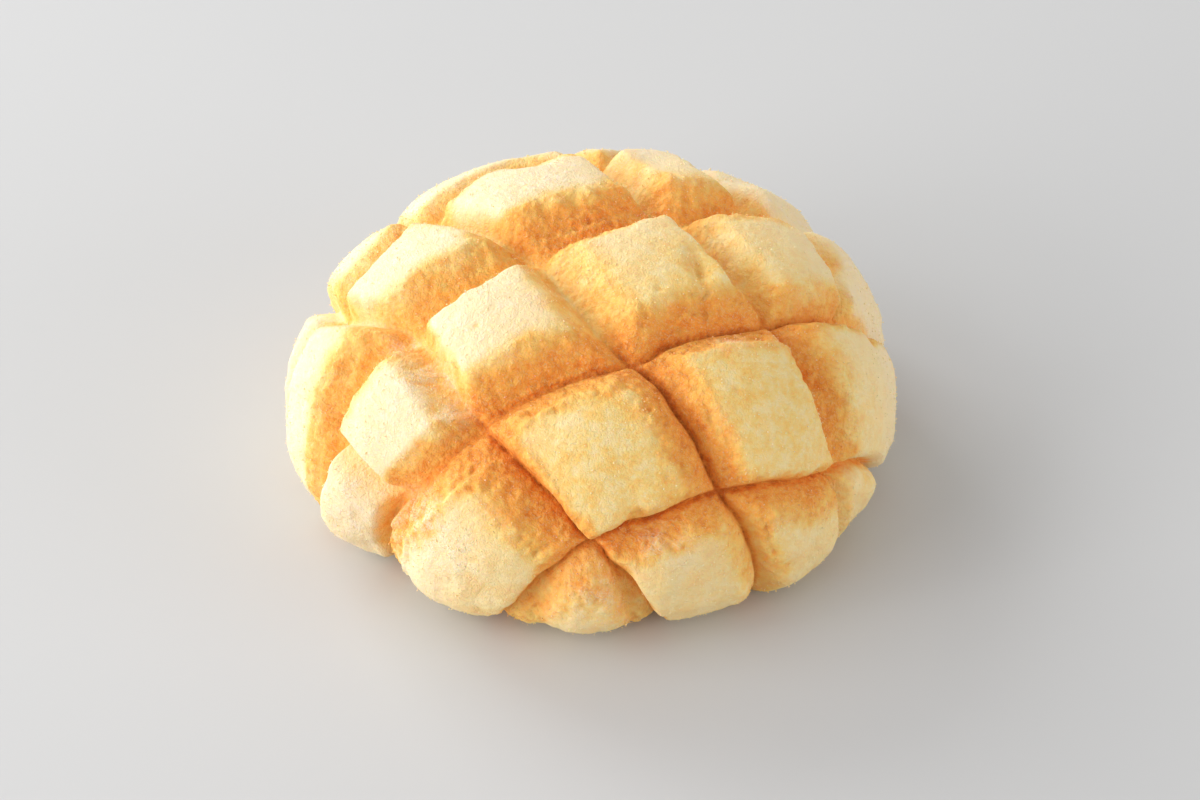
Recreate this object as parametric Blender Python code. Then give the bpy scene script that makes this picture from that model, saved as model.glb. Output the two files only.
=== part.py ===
"""Melon pan: a round sweet bun under one sheet of scored cookie dough.

The bun is one solid. Its cookie crust is laid out as a flat round sheet, scored
with two crossing sets of cuts, and then draped over the risen dough: down the
dome, round the belly and in to the flat base. Every place on the sheet keeps its
distance from the crown along the surface, which is why cuts that are straight on
the sheet bow outward near the rim of the bun. The rising dough has also pushed
every cut a little aside here and there, and each of those bends is stated.
"""
import math
import random
from collections import namedtuple

import bmesh
import bpy

# Dough body, metres
RADIUS = 0.0542           # mean plan radius at the widest level
WIDER = 0.0010            # half the extra width across, over front to back
SKEW = 0.0006             # pull of the outline toward one diagonal
EGG = 0.0007              # slight three-sided swell of the outline
# Where the risen dough swells or stays back: azimuth and reach in degrees, rise
SWELLS = (
    (-160.0, 8.0, -0.0020),
    (-136.0, 9.0, -0.0050),
    (-101.0, 4.0, -0.0016),
    (-83.0, 3.0, -0.0016),
    (-70.0, 15.0, -0.0022),
    (-30.0, 6.0, -0.0018),
    (-17.0, 9.0, -0.0014),
    (-2.0, 9.0, -0.0014),
    (12.0, 5.0, -0.0036),
    (20.0, 6.0, 0.0012),
    (34.0, 6.0, -0.0050),
    (43.0, 4.0, 0.0004),
    (52.0, 5.0, -0.0026),
    (70.0, 7.0, -0.0020),
    (92.0, 9.0, 0.0015),
    (107.0, 4.0, -0.0024),
    (120.0, 12.0, 0.0013),
    (141.0, 5.0, -0.0024),
    (156.0, 8.0, -0.0006),
)
UNEVEN_FADE = 3.0         # power with which the outline's unevenness fades up the dome
CROWN = 0.0370            # height of the dome above the widest level
BELLY = 0.0120            # height of the belly, which rolls in to the base
SIDE_FULLNESS = 2.24      # above 2 the dome's side stands fuller than an ellipse
TOP_FULLNESS = 2.18       # above 2 the dome's top is flatter than an ellipse

# Scored cookie crust, metres and degrees
ROW_ANGLE = 28.0          # heading of the row cuts, counter-clockwise from +X
COLUMN_ANGLE = -53.0      # heading of the column cuts
GROOVE_DEPTH = 0.0042     # from the pillows' shoulders down to a crease
ROUND_SHOULDER = 1.8      # power of a flank's slope: above 1 its shoulder is round
CROSSING = 3.0            # where cuts meet their slopes add up with this power
DEEPEST = 1.15            # a crossing's depth, over that of one crease, at most
PUFF = 0.0020             # rise of a pillow's middle above its shoulders
FULL_PUFF = 0.6           # below 1 the pillow rises fast from its edges
UNEVEN = 0.0004           # largest lift or drop of one pillow against the next
TILT = 0.0004             # and the largest tilt of its edges
SEED = 7
FULL_RUN = 0.058          # the grooves keep their full depth this far from the crown
RIM_SHARE = 0.85          # and this much of it round the belly
END_FADE = 0.004          # a cut that stops short fades out over this length
BEND_EASE = 0.004         # length over which a bend of a cut eases in

# One cut: offset is its distance from the crown along the sheet, bends the places
# along it and its push across there in millimetres, near and far the reach of its
# flanks on either side, start and stop its ends. Past the ends of a short cut the
# sheet counts as its far side if beyond is 1
Cut = namedtuple("Cut", "offset bends near far start stop beyond")
ROW_CUTS = (
    Cut(-0.0560, ((-54, 0), (-36, 3), (-18, 1.5), (0, 1), (18, -0.5), (36, 1), (54, 3)),
        0.0061, 0.0032, -0.1, 0.1, 1),
    Cut(-0.0262, ((-66, 8), (-50, 3.5), (-30, 4.5), (-18, 3.5), (-6, 0.5), (6, 2), (20, 0.2),
                  (54, 2.5)), 0.0060, 0.0068, -0.1, 0.1, 1),
    Cut(0.0050, ((-66, -4), (-50, -1), (-16, -1), (-6, 2), (6, -1), (18, 0), (40, -3),
                 (56, -7)), 0.0042, 0.0081, -0.1, 0.1, 1),
    Cut(0.0352, ((-42, -9.5), (-30, -7.5), (-18, -1.5), (6, 3), (18, -2.5), (36, 1)),
        0.0036, 0.0055, -0.1, 0.1, 1),
)
COLUMN_CUTS = (
    Cut(-0.0630, ((-18, 7), (-6, 3.5), (6, 0), (18, -2.5)), 0.0050, 0.0034, -0.015, 0.016, 1),
    Cut(-0.0392, ((-54, 3), (-30, -1), (-12, 4), (-4, 4), (6, 0.5), (42, 1), (54, 3.5),
                  (78, 5.5)), 0.0070, 0.0035, -0.1, 0.1, 1),
    Cut(-0.0106, ((-42, -5), (-18, 1), (-6, 3), (4, 1), (18, -0.5), (30, 2.5), (54, 1.5),
                  (78, 6.5)), 0.0062, 0.0058, -0.1, 0.1, 1),
    Cut(0.0200, ((-30, 3), (-18, -1), (18, -2.5), (30, -0.5), (54, -2.5), (78, 5)),
        0.0041, 0.0057, -0.1, 0.1, 1),
    Cut(0.0425, ((-30, 1), (-18, -4), (-6, -7), (6, -2), (18, 0.5), (30, -3.5)),
        0.0042, 0.0044, -0.1, 0.030, 0),
)

# Mesh
SPHERE_LEVEL = 5          # subdivisions of the starting icosphere
SNAP = 0.0005             # vertices this near a cut move onto it
PROFILE_STEPS = 240       # straight steps along the crown-to-base profile
BAKED_DOUGH = (0.86, 0.62, 0.30, 1.0)

QUARTER = math.pi / 2


def outline(azimuth):
    """Plan radius at the widest level, toward one azimuth."""
    radius = (RADIUS + WIDER * math.cos(2 * azimuth) + SKEW * math.sin(2 * azimuth)
              - EGG * math.cos(3 * azimuth))
    for middle, reach, rise in SWELLS:
        away = (math.degrees(azimuth) - middle + 180) % 360 - 180
        radius += rise * math.exp(-(away / reach) ** 2)
    return radius


def profile_point(share):
    """Height and radius on the mean profile: share 0 at the crown, 1 at the
    widest level and 2 at the edge of the flat base."""
    if share <= 1:
        turn = share * QUARTER
        radius = RADIUS * math.sin(turn) ** (2 / SIDE_FULLNESS)
        height = BELLY + CROWN * max(math.cos(turn), 0) ** (2 / TOP_FULLNESS)
        return radius, height
    turn = (share - 1) * QUARTER
    return RADIUS - BELLY * (1 - math.cos(turn)), BELLY * (1 - math.sin(turn))


def profile_table():
    """(distance along the sheet, radius, height) from the crown to the base."""
    table = [(0.0, 0.0, BELLY + CROWN)]
    for step in range(1, PROFILE_STEPS + 1):
        radius, height = profile_point(2 * step / PROFILE_STEPS)
        run, last_radius, last_height = table[-1]
        run += math.hypot(radius - last_radius, height - last_height)
        table.append((run, radius, height))
    return table


PROFILE = profile_table()
SHEET_RADIUS = PROFILE[-1][0]
RIM_RUN = PROFILE[PROFILE_STEPS // 2][0]


def drape(x, y):
    """Place on the bun of a place on the flat sheet."""
    run = min(math.hypot(x, y), SHEET_RADIUS)
    azimuth = math.atan2(y, x)
    step = 1
    while step < PROFILE_STEPS and PROFILE[step][0] < run:
        step += 1
    near, far = PROFILE[step - 1], PROFILE[step]
    share = (run - near[0]) / (far[0] - near[0])
    radius = near[1] + share * (far[1] - near[1])
    height = near[2] + share * (far[2] - near[2])
    rim_share = min(run / RIM_RUN, 1.0) ** UNEVEN_FADE
    radius *= 1 + (outline(azimuth) / RADIUS - 1) * rim_share
    return radius * math.cos(azimuth), radius * math.sin(azimuth), height


class Groove:
    """A cut pressed into the flat sheet."""

    def __init__(self, cut, heading):
        angle = math.radians(heading)
        self.along = (math.cos(angle), math.sin(angle))
        self.across = (-self.along[1], self.along[0])
        self.cut = cut

    def push(self, along):
        """How far the rising dough has pushed the cut across at one place."""
        places = [(place / 1000, shift / 1000) for place, shift in self.cut.bends]
        if along <= places[0][0]:
            return places[0][1]
        for (near, near_shift), (far, far_shift) in zip(places, places[1:]):
            if along < far:
                return near_shift + (along - near) / (far - near) * (far_shift - near_shift)
        return places[-1][1]

    def swing(self, x, y):
        """The push level with a place on the sheet, each bend eased in."""
        along = x * self.along[0] + y * self.along[1]
        return sum(self.push(along + step) for step in (-BEND_EASE, 0.0, BEND_EASE)) / 3

    def distance(self, x, y):
        """Signed distance across the sheet from the crease."""
        straight = x * self.across[0] + y * self.across[1] - self.cut.offset
        return straight - self.swing(x, y)

    def wholeness(self, x, y):
        """1 along the cut, falling to 0 past its ends."""
        along = x * self.along[0] + y * self.along[1]
        past = max(self.cut.start - along, along - self.cut.stop, 0.0)
        return max(1 - past / END_FADE, 0.0)

    def slope(self, x, y):
        """1 at the crease, 0 from its shoulders outward and past its ends."""
        distance = self.distance(x, y)
        reach = self.cut.far if distance > 0 else self.cut.near
        return max(1 - abs(distance) / reach, 0.0) ** ROUND_SHOULDER * self.wholeness(x, y)

    def is_behind(self, x, y):
        """Whether a place counts as lying on the cut's far side."""
        if self.wholeness(x, y) < 0.5:
            return bool(self.cut.beyond)
        return self.distance(x, y) > 0


ROWS = [Groove(cut, ROW_ANGLE) for cut in ROW_CUTS]
COLUMNS = [Groove(cut, COLUMN_ANGLE) for cut in COLUMN_CUTS]


def across_set(grooves, x, y):
    """Slopes of one set of cuts, the number of the pillow between them, how near
    its middle the place lies (1) or its edge (0), and to which side (-1 to 1)."""
    slopes = [groove.slope(x, y) for groove in grooves]
    number = sum(groove.is_behind(x, y) for groove in grooves)
    whole = [groove.distance(x, y) for groove in grooves if groove.wholeness(x, y) > 0.5]
    low = min([distance for distance in whole if distance > 0], default=SHEET_RADIUS)
    high = min([-distance for distance in whole if distance <= 0], default=SHEET_RADIUS)
    return slopes, number, 4 * low * high / (low + high) ** 2, (low - high) / (low + high)


def pillow_lifts():
    """A small seeded lift and two tilts for every pillow of the crust."""
    chance = random.Random(SEED)
    return [[[chance.uniform(-1, 1) for _ in range(3)] for _ in range(len(COLUMNS) + 1)]
            for _ in range(len(ROWS) + 1)]


LIFTS = pillow_lifts()


def relief(x, y):
    """Height of the crust above the smooth dough body."""
    row_slopes, row, row_middle, row_side = across_set(ROWS, x, y)
    column_slopes, column, column_middle, column_side = across_set(COLUMNS, x, y)
    together = sum(slope ** CROSSING for slope in row_slopes + column_slopes)
    depth = min(together ** (1 / CROSSING), DEEPEST)
    lift, row_tilt, column_tilt = LIFTS[row][column]
    tilt = TILT * (row_tilt * row_side + column_tilt * column_side)
    puffed = (PUFF * (row_middle * column_middle) ** FULL_PUFF
              + (UNEVEN * lift + tilt) * (1 - min(depth, 1.0)))
    run = math.hypot(x, y)
    toward_rim = min(max((run - FULL_RUN) / (RIM_RUN - FULL_RUN), 0.0), 1.0)
    groove_depth = GROOVE_DEPTH * (1 - (1 - RIM_SHARE) * toward_rim)
    below_rim = max(run - RIM_RUN, 0.0) / (SHEET_RADIUS - RIM_RUN)
    return (1 - below_rim ** 2) * (puffed - groove_depth * depth)


def straighten(bm, groove, way):
    """Slide the sheet across a bent cut, so that a flat plane follows it."""
    for vert in bm.verts:
        swing = way * groove.swing(vert.co.x, vert.co.y)
        vert.co.x += groove.across[0] * swing
        vert.co.y += groove.across[1] * swing


def scored_sheet():
    """The flat crust: an even mesh of triangles cut along every crease and
    along both shoulders of every groove."""
    bm = bmesh.new()
    bmesh.ops.create_icosphere(bm, subdivisions=SPHERE_LEVEL, radius=1.0)
    base_radius = PROFILE[-1][1]
    base_angle = math.pi * SHEET_RADIUS / (SHEET_RADIUS + base_radius)
    bmesh.ops.bisect_plane(bm, geom=bm.verts[:] + bm.edges[:] + bm.faces[:],
                           plane_co=(0, 0, math.cos(base_angle)), plane_no=(0, 0, -1),
                           dist=0.01, clear_outer=True)
    for vert in bm.verts:
        angle = math.acos(max(-1.0, min(1.0, vert.co.normalized().z)))
        run = min(angle / base_angle, 1.0) * SHEET_RADIUS
        azimuth = math.atan2(vert.co.y, vert.co.x)
        vert.co = (run * math.cos(azimuth), run * math.sin(azimuth), 0.0)
    for groove in ROWS + COLUMNS:
        straighten(bm, groove, -1)
        for shift in (-groove.cut.near, 0.0, groove.cut.far):
            away = groove.cut.offset + shift
            bmesh.ops.bisect_plane(bm, geom=bm.verts[:] + bm.edges[:] + bm.faces[:],
                                   plane_co=(groove.across[0] * away, groove.across[1] * away, 0),
                                   plane_no=(groove.across[0], groove.across[1], 0), dist=SNAP)
        straighten(bm, groove, 1)
    bmesh.ops.triangulate(bm, faces=bm.faces[:])
    return bm


def shape_bun():
    """Drape the sheet over the dough, press the grooves in, close the base."""
    bm = scored_sheet()
    heights = [relief(vert.co.x, vert.co.y) for vert in bm.verts]
    for vert in bm.verts:
        vert.co = drape(vert.co.x, vert.co.y)
    bm.normal_update()
    normals = [vert.normal.copy() for vert in bm.verts]
    for vert, normal, height in zip(bm.verts, normals, heights):
        if not vert.is_boundary:
            vert.co += normal * height
            vert.co.z = max(vert.co.z, 0.0)
    rim = [edge for edge in bm.edges if edge.is_boundary]
    for vert in {vert for edge in rim for vert in edge.verts}:
        vert.co.z = 0.0
    bmesh.ops.edgeloop_fill(bm, edges=rim)
    bmesh.ops.triangulate(bm, faces=bm.faces[:])
    bmesh.ops.recalc_face_normals(bm, faces=bm.faces[:])
    return bm


def centre_on_base(bm):
    """Put the origin under the middle of the bun's box, on its base."""
    for axis in (0, 1):
        places = [vert.co[axis] for vert in bm.verts]
        middle = (min(places) + max(places)) / 2
        for vert in bm.verts:
            vert.co[axis] -= middle


def dough_material():
    material = bpy.data.materials.new("baked_cookie_dough")
    material.use_nodes = True
    shader = material.node_tree.nodes["Principled BSDF"]
    shader.inputs["Base Color"].default_value = BAKED_DOUGH
    shader.inputs["Roughness"].default_value = 0.75
    shader.inputs["Metallic"].default_value = 0.0
    return material


def main():
    for old in list(bpy.data.objects):
        bpy.data.objects.remove(old, do_unlink=True)
    bm = shape_bun()
    centre_on_base(bm)
    mesh = bpy.data.meshes.new("melon_pan_bun")
    bm.to_mesh(mesh)
    bm.free()
    mesh.materials.append(dough_material())
    bun = bpy.data.objects.new("melon_pan_bun", mesh)
    bpy.context.scene.collection.objects.link(bun)
    print("melon_pan_bun:", len(mesh.vertices), "vertices,", len(mesh.polygons), "triangles")


main()
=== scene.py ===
# %% [markdown]
# # Dressing a melon pan
# A melon pan is a soft sweet bun that bakes under one sheet of cookie dough.
# The baker presses two crossing sets of cuts into the sheet, drapes it over the
# dough and lets both rise, so the cuts open into grooves and the cookie dough
# between them puffs into pillows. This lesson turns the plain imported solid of
# such a bun into the baked thing: a finely modelled crust, the bread under it,
# loose sugar, and a baked colour that follows the grooves.
#
# First the frame is loaded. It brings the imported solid, and the box round it gives
# the two sizes that everything below is drawn to: the width and the height.

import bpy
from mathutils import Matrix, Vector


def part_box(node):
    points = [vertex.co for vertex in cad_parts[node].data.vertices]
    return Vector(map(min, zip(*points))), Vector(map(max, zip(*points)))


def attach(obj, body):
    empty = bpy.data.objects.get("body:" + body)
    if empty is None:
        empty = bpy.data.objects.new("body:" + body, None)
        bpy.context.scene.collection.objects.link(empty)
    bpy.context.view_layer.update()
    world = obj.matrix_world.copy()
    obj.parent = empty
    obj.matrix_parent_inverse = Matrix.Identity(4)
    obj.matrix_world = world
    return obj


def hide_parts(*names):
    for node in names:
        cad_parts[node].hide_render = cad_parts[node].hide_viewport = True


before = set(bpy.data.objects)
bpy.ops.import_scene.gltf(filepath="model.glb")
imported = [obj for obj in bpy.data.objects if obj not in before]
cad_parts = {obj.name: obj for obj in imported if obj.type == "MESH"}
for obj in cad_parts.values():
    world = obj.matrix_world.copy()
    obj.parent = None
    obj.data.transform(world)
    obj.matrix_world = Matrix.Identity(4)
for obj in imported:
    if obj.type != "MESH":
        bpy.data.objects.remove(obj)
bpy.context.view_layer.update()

import math
import random

import bpy
import numpy as np
from mathutils import Vector, noise

NODE = "melon_pan_bun"
low, high = (Vector(corner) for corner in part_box(NODE))
WIDTH = high.x - low.x
HEIGHT = high.z - low.z
print(f"packed bun: {WIDTH * 1000:.1f} mm across, {HEIGHT * 1000:.1f} mm high")

# %% [markdown]
# ## The dough body
# A risen bun is a low dome whose side rolls in to a flat base. It could be sculpted
# from a ball, but then no measure on its surface would be known. Here it is drawn
# as one profile, a rounded curve from the crown to the widest level and a quarter
# circle from there to the base, turned round the upright axis. The plan is not
# quite a circle: each groove that reaches the rim leaves a small notch there, and
# the pillows between stand out. Higher up the dome those swells fade away.

# %% Profile and outline of the body
MEAN_RADIUS = 0.972 * WIDTH / 2      # plan radius at the widest level
BELLY = 0.236 * HEIGHT               # height of the quarter circle at the side
CROWN = 0.729 * HEIGHT               # height of the dome above it
SIDE_FULLNESS = 2.24                 # above 2, fuller than an ellipse
TOP_FULLNESS = 2.18
UNEVEN_FADE = 3                      # power with which an uneven outline evens out up the dome
PROFILE_STEPS = 400                  # points along the dome, and again along the side

turn = np.linspace(0, math.pi / 2, PROFILE_STEPS)
radii = np.concatenate([MEAN_RADIUS * np.sin(turn) ** (2 / SIDE_FULLNESS),
                        MEAN_RADIUS - BELLY * (1 - np.cos(turn[1:]))])
heights = np.concatenate([BELLY + CROWN * np.clip(np.cos(turn), 0, 1) ** (2 / TOP_FULLNESS),
                          BELLY * (1 - np.sin(turn[1:]))])
runs = np.concatenate([[0], np.cumsum(np.hypot(np.diff(radii), np.diff(heights)))])
RIM_RUN = runs[PROFILE_STEPS - 1]    # crown to widest level, along the surface
BASE_RUN = runs[-1]                  # crown to the edge of the flat base

# how far the plan is out of round, in metres: as an oval, as an oval askew, as a rounded triangle
OVAL, OVAL_ASKEW, TRIANGLE = 0.0010, 0.0006, 0.0007
# azimuth and reach in degrees, rise in metres
SWELLS = ((-160, 8, -0.0020), (-136, 9, -0.0050), (-101, 4, -0.0016), (-83, 3, -0.0016), (-70, 15, -0.0022),
          (-30, 6, -0.0018), (-17, 9, -0.0014), (-2, 9, -0.0014), (12, 5, -0.0036), (20, 6, 0.0012),
          (34, 6, -0.0050), (43, 4, 0.0004), (52, 5, -0.0026), (70, 7, -0.0020), (92, 9, 0.0015),
          (107, 4, -0.0024), (120, 12, 0.0013), (141, 5, -0.0024), (156, 8, -0.0006))


def outline(azimuth):
    """Plan radius toward an azimuth, over the mean radius."""
    radius = (MEAN_RADIUS + OVAL * np.cos(2 * azimuth) + OVAL_ASKEW * np.sin(2 * azimuth)
              - TRIANGLE * np.cos(3 * azimuth))
    for middle, reach, rise in SWELLS:
        away = (np.degrees(azimuth) - middle + 180) % 360 - 180
        radius = radius + rise * np.exp(-(away / reach) ** 2)
    return radius / MEAN_RADIUS


def drape(x, y):
    """Places on the body for places on the flat sheet of cookie dough."""
    run = np.hypot(x, y)
    azimuth = np.arctan2(y, x)
    rim_share = np.minimum(run / RIM_RUN, 1) ** UNEVEN_FADE
    radius = np.interp(run, runs, radii) * (1 + (outline(azimuth) - 1) * rim_share)
    height = np.interp(run, runs, heights)
    return np.stack([radius * np.cos(azimuth), radius * np.sin(azimuth), height], axis=1)


print(f"crown to rim {RIM_RUN * 1000:.1f} mm, crown to base {BASE_RUN * 1000:.1f} mm")

# %% [markdown]
# ## The scoring
# On the flat sheet the cuts are nearly straight lines, a little under three
# centimetres apart, so every place on the crust can be measured against them
# there: how far it lies from a crease, and on which side. The rising dough pushes
# a cut aside here and there, and the few bends listed with each cut say where. One
# short cut near the edge stops inside the sheet, where the cutter was lifted.
# Drawing the cuts on the curved crust itself would need a curve in space for each,
# and distances from those are much harder to work out.

# %% Cuts in the flat sheet
ROW_HEADING = 28.0                   # degrees, counter-clockwise from +X
COLUMN_HEADING = -53.0
FADE = 0.004                         # length over which a short cut runs out
BEND_EASE = 0.004                    # length over which a bend eases in
OFF_SHEET = 0.1                      # farther out than the sheet reaches


class Cut:
    """One pressed line: its place on the sheet, its bends and its ends."""

    def __init__(self, heading, offset, bends, start=-OFF_SHEET, stop=OFF_SHEET, beyond=True):
        angle = math.radians(heading)
        self.along = np.array([math.cos(angle), math.sin(angle)])
        self.across = np.array([-self.along[1], self.along[0]])
        self.offset, self.start, self.stop = offset, start, stop
        self.beyond = beyond             # past its ends all counts as its far side, or else as its near side
        self.places, self.shifts = np.array(bends).T / 1000

    def swing(self, along):
        """How far the rising dough has pushed the cut aside here."""
        eased = [np.interp(along + step, self.places, self.shifts) for step in (-BEND_EASE, 0, BEND_EASE)]
        return np.mean(eased, axis=0)

    def measure(self, x, y):
        """Distance across from the crease, minus on its near side, and how whole the cut is."""
        along = x * self.along[0] + y * self.along[1]
        across = x * self.across[0] + y * self.across[1]
        past = np.maximum(self.start - along, along - self.stop)
        return across - self.offset - self.swing(along), np.clip(1 - past / FADE, 0, 1)


# distance from the crown in metres, then the bends: place along the cut and push across, in mm
ROWS = [Cut(ROW_HEADING, -0.0560, ((-54, 0), (-36, 3), (-18, 1.5), (0, 1), (18, -0.5), (36, 1), (54, 3))),
        Cut(ROW_HEADING, -0.0262, ((-66, 8), (-50, 3.5), (-30, 4.5), (-18, 3.5), (-6, 0.5), (6, 2),
                                   (20, 0.2), (54, 2.5))),
        Cut(ROW_HEADING, 0.0050, ((-66, -4), (-50, -1), (-16, -1), (-6, 2), (6, -1), (18, 0),
                                  (40, -3), (56, -7))),
        Cut(ROW_HEADING, 0.0352, ((-42, -9.5), (-30, -7.5), (-18, -1.5), (6, 3), (18, -2.5), (36, 1)))]
COLUMNS = [Cut(COLUMN_HEADING, -0.0630, ((-18, 7), (-6, 3.5), (6, 0), (18, -2.5)), -0.0150, 0.0160),
           Cut(COLUMN_HEADING, -0.0392, ((-54, 3), (-30, -1), (-12, 4), (-4, 4), (6, 0.5), (42, 1),
                                         (54, 3.5), (78, 5.5))),
           Cut(COLUMN_HEADING, -0.0106, ((-42, -5), (-18, 1), (-6, 3), (4, 1), (18, -0.5), (30, 2.5),
                                         (54, 1.5), (78, 6.5))),
           Cut(COLUMN_HEADING, 0.0200, ((-30, 3), (-18, -1), (18, -2.5), (30, -0.5), (54, -2.5), (78, 5))),
           Cut(COLUMN_HEADING, 0.0425, ((-30, 1), (-18, -4), (-6, -7), (6, -2), (18, 0.5), (30, -3.5)),
               stop=0.0300, beyond=False)]
print(len(ROWS), "cuts one way and", len(COLUMNS), "the other")

# %% [markdown]
# ## The bare sheet
# The crust needs a mesh fine enough to carry its relief as real shape. A ball of
# rings and segments crowds its faces at the pole, just where the eye falls first.
# An icosphere has faces of nearly one size, so it carries fine relief equally well
# everywhere. A bisect opens it at the bottom. Each of its points then gets a place
# on the flat sheet, where the pattern is easy to work out, and another on the body.
# Four sizes of soft chance, from a centimetre down to a millimetre, are drawn on
# the sheet now and serve every uneven thing that follows.

# %% A bare ball, cut open for the sheet
BALL_SPLITS = 8
OPEN_ANGLE = math.radians(95)        # angle from the crown to the sheet's edge


def clear_selection():
    """Leaves edit mode and deselects every object."""
    if bpy.context.object and bpy.context.object.mode != "OBJECT":
        bpy.ops.object.mode_set(mode="OBJECT")
    bpy.ops.object.select_all(action="DESELECT")


def read_places(mesh):
    """The places of all vertices, one row each."""
    places = np.empty(len(mesh.vertices) * 3)
    mesh.vertices.foreach_get("co", places)
    return places.reshape(-1, 3)


def write_places(mesh, places):
    """Moves all vertices to new places."""
    mesh.vertices.foreach_set("co", places.ravel())
    mesh.update()


def read_normals(mesh):
    """The outward direction at every vertex."""
    normals = np.empty(len(mesh.vertices) * 3)
    mesh.vertex_normals.foreach_get("vector", normals)
    return normals.reshape(-1, 3)


OPEN_LEVEL = MEAN_RADIUS * math.cos(OPEN_ANGLE)
clear_selection()
bpy.ops.mesh.primitive_ico_sphere_add(subdivisions=BALL_SPLITS, radius=MEAN_RADIUS)
crust = bpy.context.object
crust.name = "cookie_crust"
bpy.ops.object.mode_set(mode="EDIT")
bpy.ops.mesh.select_all(action="SELECT")
bpy.ops.mesh.bisect(plane_co=(0, 0, OPEN_LEVEL), plane_no=(0, 0, -1), clear_outer=True, threshold=0.0001)
bpy.ops.object.mode_set(mode="OBJECT")
print("crust starts with", len(crust.data.vertices), "vertices,", len(crust.data.polygons), "faces")

# %% Lay the ball out flat
ball = read_places(crust.data)
ball_angle = np.arccos(np.clip(ball[:, 2] / np.linalg.norm(ball, axis=1), -1, 1))
sheet_run = np.minimum(ball_angle / OPEN_ANGLE, 1) * BASE_RUN
sheet_azimuth = np.arctan2(ball[:, 1], ball[:, 0])
sheet_x = sheet_run * np.cos(sheet_azimuth)
sheet_y = sheet_run * np.sin(sheet_azimuth)


def wander(size, seed):
    """Smooth chance over the sheet, between about -1 and 1, in lumps of one size."""
    shift = Vector((seed * 3.7, seed * 1.3, seed * 5.1))     # each seed reads another part of the noise
    return np.array([noise.noise(Vector((x, y, 0)) / size + shift) for x, y in zip(sheet_x, sheet_y)])


def smooth(low_end, high_end, value):
    """0 below one end, 1 above the other, with an easy slope between."""
    part = np.clip((value - low_end) / (high_end - low_end), 0, 1)
    return part * part * (3 - 2 * part)


broad = wander(0.012, 1)
lumpy = wander(0.0050, 2)
knobbly = wander(0.0024, 3)
grainy = wander(0.0013, 4)
print("sheet reaches", round(sheet_run.max() * 1000, 1), "mm from the crown")

# %% [markdown]
# ## Grooves and pillows
# Every point is measured against both families of cuts. That gives the pillow it
# is on and its distance to the crease on each of the pillow's four sides. A gap
# counts as wide open past the end of a short cut.

# %% Measure every point against the cuts
OPEN = 0.1                           # stands for no crease on this side
WAVER = 0.0007                       # how far a cut strays from its line in long swings
TREMBLE = 0.00025                    # and in short ones
cut_x = sheet_x + WAVER * broad + TREMBLE * wander(0.0035, 5)
cut_y = sheet_y + WAVER * wander(0.012, 6) + TREMBLE * wander(0.0035, 7)


class Family:
    """What one family of cuts makes of every point of the sheet.

    number: how many cuts lie on the near side, which numbers the strips between them.
    low_side, high_side: distance to the crease on either side of the strip.
    crease: distance to the nearer one, minus toward the high side.
    middle: 1 halfway between two creases, 0 on one. side: -1 to 1 across the strip.
    """

    def __init__(self, cuts):
        away, whole = np.array([cut.measure(cut_x, cut_y) for cut in cuts]).transpose(1, 0, 2)
        missing = (1 - whole) * OPEN / 4
        beyond = np.array([cut.beyond for cut in cuts])[:, None]
        self.number = np.sum(np.where(whole < 0.5, beyond, away > 0), axis=0)
        self.low_side = np.min(np.where(away > 0, away + missing, OPEN), axis=0)
        self.high_side = np.min(np.where(away <= 0, missing - away, OPEN), axis=0)
        self.crease = np.where(self.low_side < self.high_side, self.low_side, -self.high_side)
        self.middle = 4 * self.low_side * self.high_side / (self.low_side + self.high_side) ** 2
        self.side = (self.low_side - self.high_side) / (self.low_side + self.high_side)


rows = Family(ROWS)
columns = Family(COLUMNS)
gaps = np.array([rows.low_side, columns.high_side, rows.high_side, columns.low_side])
from_crease = gaps.min(axis=0)
print("the cuts make", rows.number.max() + 1, "by", columns.number.max() + 1, "strips")

# %% [markdown]
# Each pillow slopes down to its creases over flanks of its own widths. A wide flank
# rolls over softly. A narrow one is steep, with a crumbly brow. The slope is a power
# of the distance left to the crease, so the crease is a sharp valley and the
# shoulder above it is round. Near a crossing the two slopes add up to a deeper pit.
# The creases in front stay sharp. Over the top the dough below filled them from
# beneath, so their floors are round. Pushing faces down by hand along every groove
# would give the same walls, but not a slope that one number changes for all.

# %% Flanks of each pillow
# (row, column) of a pillow: width in mm of its near, right, far and left flank
PLAIN_FLANKS = (5.5, 4.5, 3.6, 4.4)
FLANKS = {(0, 1): (5.0, 7.5, 8.0, 4.0), (0, 2): (5.0, 6.5, 7.0, 3.0), (0, 3): (5.0, 4.0, 5.4, 6.2),
          (0, 4): (5.0, 4.0, 4.0, 3.4),
          (1, 0): (5.0, 4.0, 4.0, 4.0), (1, 1): (3.2, 9.0, 8.0, 3.6), (1, 2): (3.4, 7.0, 5.6, 2.6),
          (1, 3): (3.2, 3.6, 5.6, 6.4), (1, 4): (3.0, 4.0, 4.6, 8.0),
          (2, 0): (4.0, 6.0, 4.0, 4.0), (2, 1): (5.6, 6.6, 4.4, 3.4), (2, 2): (8.0, 6.4, 3.2, 4.4),
          (2, 3): (8.0, 3.4, 4.0, 7.0), (2, 4): (5.6, 4.4, 5.0, 6.6),
          (3, 1): (7.5, 5.0, 3.6, 3.6), (3, 2): (8.0, 5.8, 4.0, 3.8),
          (3, 3): (9.0, 5.4, 3.6, 4.2), (3, 4): (8.0, 4.6, 3.6, 4.8)}
NARROW, WIDE = 0.0030, 0.0060        # up to the first width a flank is steep, past the second soft
FILLED = 0.42                        # share of a flank that is round at its foot, over a filled crease


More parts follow.
